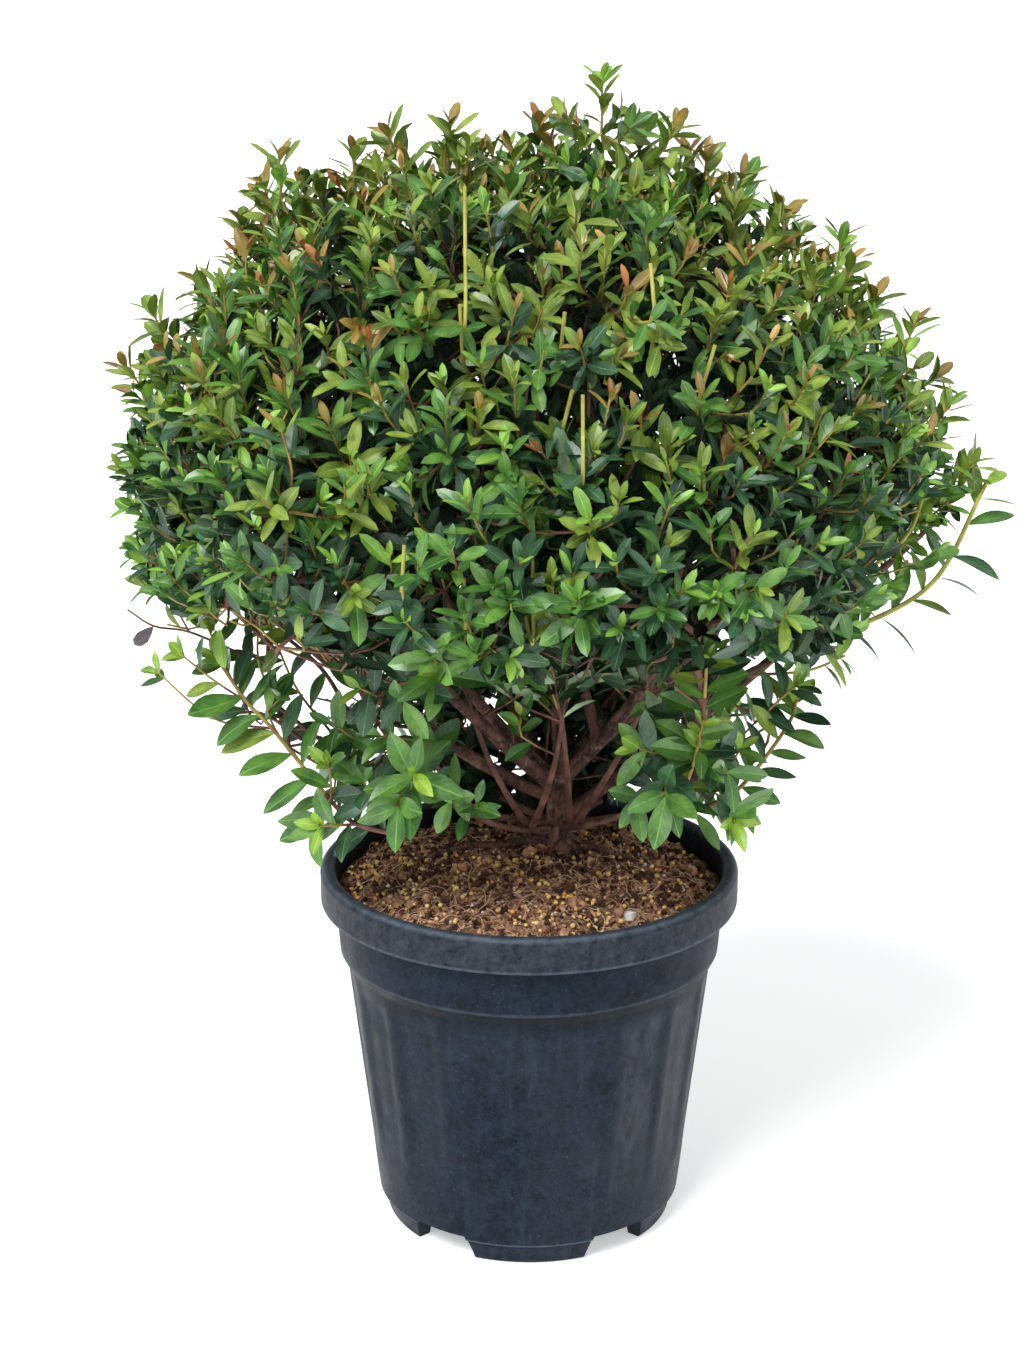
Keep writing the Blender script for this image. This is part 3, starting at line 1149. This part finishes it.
def spread_out(places, spacing, taken=()):
    """Indices of places that keep a spacing from each other and from those already taken."""
    spacing = np.broadcast_to(spacing, len(places))
    kept = np.array(taken, float).reshape(-1, 3)
    chosen = []
    for index, place in enumerate(places):
        if not (((kept - place) ** 2).sum(1) < spacing[index] ** 2).any():
            kept = np.vstack((kept, place))
            chosen.append(index)
    return np.array(chosen)


class Growth:
    """A tree of limbs that grows from the boughs to every shoot tip."""

    def __init__(self, limbs):
        self.place, self.parent, self.length, self.ahead, self.radius = [], [], [], [], []
        self.tip_of = {}
        for name, path, radii in limbs:
            if not name.startswith("bough"):
                continue
            run = 0.0
            first = int(len(path) * BARE_SHARE)
            for index in range(1, len(path)):
                step = path[index] - path[index - 1]
                run += np.linalg.norm(step)
                if index >= first and (index % 4 == 0 or index == len(path) - 1):
                    self.add(path[index], -1, run, step)
                    self.radius.append(radii[index])
        self.start_count = len(self.place)

    def add(self, place, parent, length, step):
        self.place.append(place)
        self.parent.append(parent)
        self.length.append(length)
        self.ahead.append(unit(step))

    def reach(self, targets, is_tip):
        """Joins each target to the tree where the added length and the turn are least."""
        cost = np.full(len(targets), np.inf)
        choice = np.full(len(targets), -1)
        waiting = np.ones(len(targets), bool)

        def offer(index):
            offset = targets - self.place[index]
            distance = np.maximum(np.linalg.norm(offset, axis=1), 1e-9)
            turn = 1 - (offset @ self.ahead[index]) / distance
            added = distance * (1 + TURN_COST * turn + STRETCH_COST * distance)
            price = added + LENGTH_COST * self.length[index]
            better = price < cost
            cost[better] = price[better]
            choice[better] = index

        for index in range(self.start_count):
            offer(index)
        for index in range(self.start_count, self.start_count + len(targets)):
            target = int(np.argmin(np.where(waiting, cost, np.inf)))
            waiting[target] = False
            parent = int(choice[target])
            step = targets[target] - self.place[parent]
            self.add(targets[target], parent, self.length[parent] + np.linalg.norm(step), step)
            if is_tip[target]:
                self.tip_of[index] = target
            else:
                offer(index)

    def chains(self):
        """Runs of node indices from a fork to a tip, thickest first, with the tips they carry."""
        carried = np.zeros(len(self.place), int)
        for step in self.tip_of:
            while step >= 0:
                carried[step] += 1
                step = self.parent[step]
        grown = [index for index in range(self.start_count, len(self.place)) if carried[index]]
        best = {}
        for index in grown:
            parent = self.parent[index]
            if parent not in best or carried[index] > carried[best[parent]]:
                best[parent] = index
        runs = []
        for index in grown:
            parent = self.parent[index]
            if parent >= self.start_count and best[parent] == index:
                continue
            run = [parent, index]
            while run[-1] in best:
                run.append(best[run[-1]])
            runs.append(run)
        return runs, carried


def lean_of(places, normals):
    """Mean direction of shoots: almost upright on top, spreading and rising at the sides."""
    away = unit(places - CROWN_HEART)
    level = np.clip((places[..., 2:] - 0.36) / 0.28, 0, 1)
    return unit(0.62 * away + 0.18 * normals + (0.36 + 0.44 * level) * UP)


def underside(place):
    """Height below which the head bears no leaves: it rises outwards, most of all in front."""
    reach = math.hypot(place[0], place[1])
    front = float(smooth_step(-place[1] / max(reach, 1e-6), 0.45, 0.85))
    return UNDERSIDE[0] + UNDERSIDE[1] * reach + front * (FRONT_UNDERSIDE[0] + FRONT_UNDERSIDE[1] * reach)


def open_to_sky(place):
    """Whether a place lies in front of or behind one of the open places, seen from the camera."""
    share = CAMERA_PLACE[1] / (CAMERA_PLACE[1] - place[1])
    x, z = (CAMERA_PLACE[k] + (place[k] - CAMERA_PLACE[k]) * share for k in (0, 2))
    for middle, level, wide, tall in SKY_GAPS:
        if ((x - middle) / wide) ** 2 + ((z - level) / tall) ** 2 < 1:
            return True
    return any(encloses(corners, x, z) for corners in OPEN_SKY)


def encloses(corners, x, z):
    """Whether an outline goes round a point."""
    inside = False
    for (ax, az), (bx, bz) in zip(corners, corners[1:] + corners[:1]):
        if (az > z) != (bz > z) and x < (bx - ax) * (z - az) / (bz - az) + ax:
            inside = not inside
    return inside


def edge_tips(x, z):
    """A shoot of the outline, with a shorter one at each side."""
    place = np.array((x, RANDOM.uniform(-EDGE_DEPTH, EDGE_DEPTH), z))
    lean = unit(lean_of(place, unit(place - CROWN_HEART)) + 0.35 * UP)
    tips = [Tip(place, lean, "edge", 0, RANDOM.uniform(*EDGE_LEAF_LENGTH), 14)]
    aside = unit(np.cross(lean, RANDOM.normal(size=3)))
    for side in (aside * -1, aside * 1):
        low = place - lean * RANDOM.uniform(*EDGE_SIDE_DROP) + side * EDGE_SIDE_GAP
        size = RANDOM.uniform(*EDGE_SIDE_LEAF_LENGTH)
        tips.append(Tip(low, unit(lean + side * 0.5), "edge", 0, size, 9))
    return tips


def single_tips():
    """The shoots that show singly, those in the shade behind the trunk, and the feet of long shoots."""
    tips = []
    for group, shoots in (("spray", SPRAY_SHOOTS), ("edge", TOP_SHOOTS)):
        for x, y, z, heading, rise, size, count in shoots:
            lean = np.array(heading_vector(heading, rise))
            tips.append(Tip(np.array((x, y, z)), lean, group, 0, size, count))
    for x, z in EDGE_SHOOTS:
        tips += edge_tips(x, z)
    for _ in range(BACK_SHOOTS):
        place = BACK_CENTRE + BACK_REACH * unit(RANDOM.normal(size=3)) * RANDOM.random() ** (1 / 3)
        tips.append(Tip(place, lean_of(place, UP), "low", 1, 0.025, 8))
    passed = []
    for _, _, _, _, *points in LONG_SHOOTS:
        if points[0] not in passed:
            ahead = unit(np.subtract(points[1], points[0]))
            tips.append(Tip(np.array(points[0]), ahead, "bare", 0, 0.0, 0))
        passed += points
    for x, y, z, length in CUT_SHOOTS:
        lean = unit(np.array((0.0, 0.4 * length if z > 0.5 else 0.0, length)))
        tips.append(Tip(np.array((x, y, z)), lean, "cut", 0, 0.020, length))
    return tips


def bearing_surface(masses):
    """Open places on the solids that bear random shoots, their outward directions, and which are low."""
    places, normals, names = masses.open_surface(SURFACE_SAMPLES)
    low = np.char.startswith(names, "foliage_low")
    thinned = np.isin(names, SIDE_SPRAYS) & (RANDOM.random(len(names)) < SIDE_SPRAY_SHARE)
    keep = ~np.isin(names, SINGLE_SPRAYS) | thinned
    keep &= low | (places[:, 2] > [underside(place) for place in places])
    keep &= [not open_to_sky(place) for place in places]
    return places[keep], normals[keep], low[keep]


def surface_tips(places, leans, low, taken):
    """Shoots over the head and the low sprays, clear of those that are taken."""
    tips = []
    for index in spread_out(places, np.where(low, LOW_TIP_SPACING, TIP_SPACING), taken):
        group = "low" if low[index] else "head"
        down = RANDOM.uniform(*TIP_DEPTH)
        if RANDOM.random() < OUTSIDE_SHARE:
            down = RANDOM.uniform(*OUTSIDE_DEPTH)
        upper = float(smooth_step(places[index][2], 0.40, 0.58))
        larger = LOW_LARGER if low[index] else 1 + HEAD_LARGER - HEAD_LARGER * upper
        size = RANDOM.uniform(*LEAF_LENGTH) * larger
        count = int(RANDOM.integers(10, 16))
        if group == "head" and RANDOM.random() < CUT_SHARE:
            group, down, count = "cut", RANDOM.uniform(*CUT_DEPTH), RANDOM.uniform(*CUT_LENGTH)
        place = places[index] - leans[index] * down
        if low[index] or place[2] > underside(place) + TIP_CLEARANCE:
            tips.append(Tip(place, leans[index], group, 0, size, count))
    return tips


def layer_below(places, leans, layer, masses):
    """Indices and places of a layer below the head's surface, as far as it is inside the solids."""
    depth, jitter, spacing = layer
    inner = places - leans * RANDOM.normal(depth, jitter, len(places))[:, None]
    return [(index, inner[index]) for index in spread_out(inner, spacing) if masses.inside(inner[index])]


def plan_tips(masses):
    """Chooses the shoot tips, the inner shoots and the forks below them."""
    tips = single_tips()
    taken = [tip.place for tip in tips if tip.group == "edge"]
    places, normals, low = bearing_surface(masses)
    leans = lean_of(places, normals)
    tips += surface_tips(places, leans, low, taken)
    head, head_leans = places[~low], leans[~low]
    for rank, layer in enumerate(INNER_LAYERS, start=1):
        for index, place in layer_below(head, head_leans, layer, masses):
            if place[2] > underside(place):
                size = RANDOM.uniform(*INNER_LEAF_LENGTH)
                tips.append(Tip(place, head_leans[index], "head", rank, size, int(RANDOM.integers(7, 10))))
    forks = list(np.array(SPRAY_FORKS))
    for x, y, z, length in CUT_SHOOTS:
        forks.append(np.array((x, y + (0.01 if z > 0.5 else 0.03), z - length - 0.01)))
    for layer in FORK_LAYERS:
        forks += [place for _, place in layer_below(head, head_leans, layer, masses)]
    below = places[low] - normals[low] * LOW_FORK_DEPTH
    forks += list(below[spread_out(below, LOW_FORK_SPACING)])
    return tips, np.array(forks)


# Leaves

class Leaves:
    """Leaves of one colour, gathered and then made as one mesh of folded blades."""

    def __init__(self, outline, ribbed):
        self.rows = []
        self.points, self.faces, self.slots = self.template(outline, ribbed)

    def add(self, place, ahead, facing, length, width, fold, curl, twist):
        self.rows.append((*place, *ahead, *facing, length, width, fold, curl, twist))

    @staticmethod
    def template(outline, ribbed):
        """Shares (along, across) of one blade in two halves, with a rib strip between them."""
        rib = RIB_HALF_WIDTH if ribbed else 0.0
        points, faces, slots = [], [], []

        def strip(rows, slot):
            """Triangles between rows of one or two points each, which end at the leaf's tip."""
            last = []
            for row in (*rows, [(1.0, 0.0)]):
                now = list(range(len(points), len(points) + len(row)))
                points.extend(row)
                if len(last) == 2:
                    faces.append((last[0], last[1], now[-1]))
                if last and len(now) == 2:
                    faces.append((last[0], now[1], now[0]))
                last = now
            slots.extend([slot] * (len(faces) - len(slots)))

        strip([[(0.0, -rib)]] + [[(t, -half), (t, -rib)] for t, half in outline], 0)
        strip([[(0.0, rib)]] + [[(t, rib), (t, half)] for t, half in outline], 0)
        if ribbed:
            strip([[(t, -rib), (t, rib)] for t in (0.0, *(t for t, _ in outline))], 1)
        return np.array(points), np.array(faces), np.array(slots)

    def make(self, name, materials):
        rows = np.array(self.rows)
        place, ahead, facing = rows[:, 0:3], unit(rows[:, 3:6]), rows[:, 6:9]
        length, width, fold, curl, twist = (rows[:, k : k + 1] for k in range(9, 14))
        facing = unit(facing - ahead * (facing * ahead).sum(1, keepdims=True))
        side = np.cross(ahead, facing)
        t = self.points[None, :, 0]
        across = self.points[None, :, 1] * (width / 2)
        roll = twist * t
        rise = (0.35 * curl * t - curl * t * t) * length
        rise = rise + fold * np.abs(across) + across * np.sin(roll)
        run = t * length * (1 - 0.18 * np.abs(curl) * t)
        points = (
            place[:, None, :]
            + ahead[:, None, :] * run[..., None]
            + side[:, None, :] * (across * np.cos(roll))[..., None]
            + facing[:, None, :] * rise[..., None]
        )
        joined = (self.faces[None] + (np.arange(len(rows)) * len(self.points))[:, None, None]).reshape(-1, 3)
        piece = add_mesh(name, points.reshape(-1, 3), joined, materials, np.tile(self.slots, len(rows)))
        blade = np.empty(points.shape)
        blade[..., 0] = t
        blade[..., 1] = np.abs(self.points[None, :, 1])
        blade[..., 2] = RANDOM.random(len(rows))[:, None]
        set_attribute(piece.data, "blade", blade, "FLOAT_VECTOR", "vector")
        return piece


def draw(shares):
    """A key drawn by its share."""
    keys = list(shares)
    chances = np.maximum([shares[key] for key in keys], 0)
    return keys[int(RANDOM.choice(len(keys), p=chances / chances.sum()))]


def shoot_colours(tip):
    """Colours of a shoot's youngest, half grown and grown leaves."""
    if tip.layer:
        return "inner", "inner", "inner"
    edge = float(tip.group == "edge")
    spray = tip.group in ("spray", "low")
    height = min(float(smooth_step(tip.place[2], 0.46, 0.60)) * (1.3 if edge else 1.0), 1.0)
    shade = 1 - float(smooth_step(tip.place[2], 0.38, 0.50)) if tip.group == "head" else 0.0
    brown = (1.0 + 1.8 * edge) * height
    young = draw({
        "russet": 0.17 * brown,
        "bronze": 0.36 * brown,
        "olive": 0.17 + 0.22 * height,
        "fresh": 0.50 - 0.38 * height - 0.32 * shade,
        "mid": 0.33 - 0.26 * height,
    })
    grown = draw({
        "dark": 0.52 - 0.42 * height - 0.24 * max(spray, edge) + 0.30 * shade,
        "mid": 0.48 - 0.06 * height - 0.22 * edge,
        "olive": 0.02 + 0.46 * height + 0.35 * edge,
        "fresh": 0.30 * edge,
    })
    half = {"russet": "bronze", "bronze": "olive"}.get(young, young)
    if tip.group == "cut":
        young = half = grown
    elif tip.lean[2] < 0:
        young = half = "mid"
    elif spray:
        young, half = "lime" if young == "fresh" else young, "mid"
    elif RANDOM.random() < 0.4 + 0.5 * shade:
        half = grown
    return young, half, grown


def add_leaf(leaves, kind, foot, outward, outside, share, length, colour):
    """One leaf. The foot is its place and the shoot's direction there. The share is how far it has
    grown, and outside is the way that leaves turn their upper face."""
    base, axis = foot
    shoot = SHOOT_KINDS[kind]
    spread = math.radians(shoot.least + (shoot.most - shoot.least) * share + RANDOM.normal() * 9)
    ahead = unit(axis * math.cos(spread) + outward * math.sin(spread) - UP * shoot.droop)
    facing = axis * shoot.face_ahead - outward * 0.2 + UP * 0.45 + outside * shoot.face_out
    facing = facing + RANDOM.normal(size=3) * 0.16
    length *= (0.44 + 0.56 * share) * RANDOM.uniform(0.84, 1.12)
    end = base + ahead * length
    if kind in ("head", "edge", "cut") and end[2] < underside(end) - LEAF_SAG:
        return
    if kind in ("head", "low") and (open_to_sky(end) or open_to_sky((base + end) / 2)):
        return
    width = length * shoot.ratio * (0.94 + 0.08 * share) * RANDOM.uniform(0.88, 1.14)
    surface = facing - ahead * facing.dot(ahead)
    if colour not in ("inner", "fresh", "lime") and surface.dot(outside) < -0.15 and share > 0.6:
        colour = "pale"
    if kind in ("spray", "side", "low") and colour in LARGE:
        colour = "large_" + colour
    fold, curl = RANDOM.uniform(0.10, 0.42), RANDOM.uniform(-0.06, 0.34)
    leaves[colour].add(base, ahead, facing, length, width, fold, curl, RANDOM.normal() * 0.28)


def flattened(outward, outside):
    """A sideways direction pressed towards the plane that faces outside."""
    return unit(outward - outside * outward.dot(outside) * FLATTEN)


def dress_shoot(leaves, path, tip):
    """Leaves along the end of a shoot: young ones at its tip, a rosette, and single ones below."""
    reach = SHOOT_KINDS[tip.group].reach
    run = distances_along(path)
    tangents, sides, across = frames_along(path)
    young, half, grown = shoot_colours(tip)
    start, count = 0.0, tip.count
    if tip.group == "cut":
        start, count = tip.count, 7
    elif tip.layer:
        reach = INNER_REACH
    elif tip.group == "head":
        reach *= RANDOM.uniform(0.75, 1.2)
    reach = min(run[-1] * 0.95 - start, reach)
    if reach <= 0.004:
        return
    turn = RANDOM.random() * math.tau
    outside = unit(tip.place - CROWN_HEART)
    if tip.group == "spray":
        outside = unit(outside + TOWARD_FRONT)
    for k in range(count):
        part = k / (count - 1)
        at = run[-1] - start - reach * part ** 1.65
        index = min(max(int(np.searchsorted(run, at, side="right")) - 1, 0), len(path) - 2)
        blend = (at - run[index]) / max(run[index + 1] - run[index], 1e-9)
        foot = (path[index] + (path[index + 1] - path[index]) * blend, tangents[index])
        turn += GOLDEN_TURN + RANDOM.normal() * 0.2
        outward = sides[index] * math.cos(turn) + across[index] * math.sin(turn)
        if tip.group in ("spray", "low"):
            outward = flattened(outward, outside)
        shares = {"cut": 1.0, "spray": 0.14 + 0.24 * k, "edge": 0.35 + part * 2.6}
        share = 0.8 if tip.lean[2] < 0 else min(shares.get(tip.group, part * 2.6), 1.0)
        colour = young if part < 0.17 else half if part < 0.40 else grown
        if colour == "russet" and k > 1:
            colour = half
        size = tip.size * (0.86 if part > 0.8 else 1.0)
        add_leaf(leaves, tip.group, foot, outward, outside, share, size, colour)


def dress_long_shoot(leaves, kind, path, size, count):
    """Leaves along the whole of a long shoot: a tuft of young ones at its tip, and then single ones."""
    tangents, sides, across = frames_along(path)
    outside = unit(unit(path[-1] - CROWN_HEART) + TOWARD_FRONT)
    turn = RANDOM.random() * math.tau
    tuft = min(TUFT, count)
    for k in range(count):
        part = 0.02 * k if k < tuft else 0.02 * tuft + 0.86 * (k - tuft + 0.6) / max(count - tuft, 1)
        index = min(int((1 - part) * (len(path) - 1)), len(path) - 2)
        turn += GOLDEN_TURN + RANDOM.normal() * 0.15
        outward = flattened(sides[index] * math.cos(turn) + across[index] * math.sin(turn), outside)
        if k >= tuft:
            flat = unit(np.cross(tangents[index], TOWARD_FRONT)) * (1 if k % 2 else -1)
            outward = unit(flat - TOWARD_FRONT * RANDOM.normal() * 0.22)
        share = (0.45 if kind == "side" else 0.12) + 0.13 * k if k < tuft else 1.0
        colour = "lime" if k < tuft - 1 else draw({"mid": 0.55, "dark": 0.30, "olive": 0.15})
        if kind == "side" and k < tuft:
            colour = draw({"olive": 0.5, "lime": 0.5})
        add_leaf(leaves, kind, (path[index], tangents[index]), outward, outside, share, size, colour)


# Twigs and the whole plant

def make_stems(limbs, tubes):
    """Slender stems out of the lower part of the boughs. They are added to the limbs' paths."""
    parents = [limb for limb in limbs if limb[0].startswith("bough")]
    for index in range(STEMS):
        _, path, _ = parents[int(RANDOM.integers(len(parents)))]
        at = int(len(path) * RANDOM.uniform(0.12, 0.5))
        ahead = path[at + 1] - path[at]
        heading = math.degrees(math.atan2(ahead[1], ahead[0])) + RANDOM.uniform(-60, 60)
        rises = [RANDOM.uniform(*span) for span in STEM_RISE]
        length = RANDOM.uniform(*STEM_LENGTH)
        turned = heading + RANDOM.uniform(-30, 30)
        coarse = bough_path(Vector(path[at]), heading, rises[0], turned, rises[1], length, index + 40)
        stem = resample(coarse, 0.006, np.linspace(*STEM_RADII, len(coarse)))
        tubes.add(*stem, 8)
        limbs.append((f"bough_stem_{index}", *stem))


def add_long_shoots(wood, leaves):
    """The long shoots, brown for their first third or all over if they are bare."""
    for kind, size, count, radius, *points in LONG_SHOOTS:
        path, radii = resample(points, LONG_STEP, np.linspace(radius, radius * 0.7, len(points)))
        brown = len(path) // 3 if count else len(path) - 1
        wood["twigs"].add(path[: brown + 1], radii[: brown + 1], 7)
        if count:
            wood["cut_shoots" if kind == "side" else "shoots"].add(path[brown:], radii[brown:], 7)
            dress_long_shoot(leaves, kind, path, size, count)


def twig_path(growth, run, carried, tip):
    """Smooth path and radii of a twig, which turns the way its tip leans."""
    path = [growth.place[index] for index in run]
    thick = SHOOT_RADIUS * np.maximum(carried[run], 1) ** TWIG_EXPONENT
    thick[0] = thick[1] * 1.12
    thick = np.minimum(thick, TWIG_MOST)
    if run[0] < growth.start_count:
        thick[0] = min(thick[0], growth.radius[run[0]] * 0.95)
    thick = np.insert(thick, -1, thick[-1])
    if tip.group == "cut":
        path.insert(-1, path[-1] - tip.lean * tip.count)
        return resample(path, TWIG_STEP, np.maximum(thick, CUT_RADIUS))
    last = np.linalg.norm(path[-1] - path[-2])
    ahead = unit(tip.lean + (path[-1] - path[-2]) / last * 0.55 + RANDOM.normal(size=3) * 0.14)
    path.insert(-1, path[-1] - ahead * min(0.5 * last, 0.034))
    smooth, radii = resample(path, TWIG_STEP, thick)
    return smooth, radii * np.linspace(1.0, 0.8, len(radii))


def add_twig(wood, path, radii, tip):
    """A twig's brown part and its green or yellow end."""
    run = distances_along(path)
    green = tip.count + CUT_GREEN if tip.group == "cut" else GREEN_LENGTH
    change = min(max(int(np.searchsorted(run, run[-1] - green)), 0), len(path) - 2)
    if tip.layer or tip.group == "bare":
        change = len(path) - 1
    if change >= 1:
        wood["twigs"].add(path[: change + 1], radii[: change + 1], 6 if radii[0] > 0.0014 else 5)
    if change < len(path) - 1:
        name, turns = ("cut_shoots", 8) if tip.group == "cut" else ("shoots", 5)
        wood[name].add(path[change:], radii[change:], turns)


def make_plant():
    """The plant's pieces, each with its slot and the nodes that it replaces."""
    limbs = limb_paths()
    pieces = [(make_limbs(limbs), "bark", ["trunk"] + [row[0] for row in (*ROOTS, *BOUGHS)])]
    masses = Masses()
    tips, forks = plan_tips(masses)
    wood = {name: Tubes() for name in WOOD}
    make_stems(limbs, wood["twigs"])
    growth = Growth(limbs)
    targets = np.vstack((np.array([tip.place for tip in tips]), forks))
    growth.reach(targets, np.arange(len(targets)) < len(tips))
    leaves = {}
    for colour in LEAF_COLOURS:
        ribbed = colour not in RIBLESS
        leaves[colour] = Leaves(FINE_OUTLINE if ribbed else PLAIN_OUTLINE, ribbed)
    for colour in LARGE:
        leaves["large_" + colour] = Leaves(LARGE_OUTLINE, True)
    leaves["dead"].add(*DEAD_LEAF, (0.1, -1.0, 0.2), 0.018, 0.0085, 0.3, 0.2, 0.2)
    add_long_shoots(wood, leaves)
    runs, carried = growth.chains()
    for run in runs:
        tip = tips[growth.tip_of[run[-1]]]
        path, radii = twig_path(growth, run, carried, tip)
        add_twig(wood, path, radii, tip)
        dress_shoot(leaves, path, tip)
    for name, look in WOOD.items():
        pieces.append((wood[name].make(name, plant_material(*look)), "bark", []))
    looks = {colour: leaf_materials(colour) for colour in LEAF_COLOURS}
    for key, group in leaves.items():
        if group.rows:
            piece = group.make("leaves_" + key, looks[key.removeprefix("large_")])
            pieces.append((piece, "foliage", masses.names if key == "mid" else []))
    return pieces


def keep(piece, slot, nodes):
    """Lets a finished piece ride on the plant's only body."""
    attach(piece, "root")
    if nodes:
        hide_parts(*nodes)


def main():
    make_camera()
    make_floor()
    make_light()
    keep(make_pot(), "pot_plastic", ["pot"])
    keep(make_soil(), "compost", ["growing_medium"])
    for piece in make_litter():
        keep(piece, "compost", [])
    for piece, slot, nodes in make_plant():
        keep(piece, slot, nodes)


main()
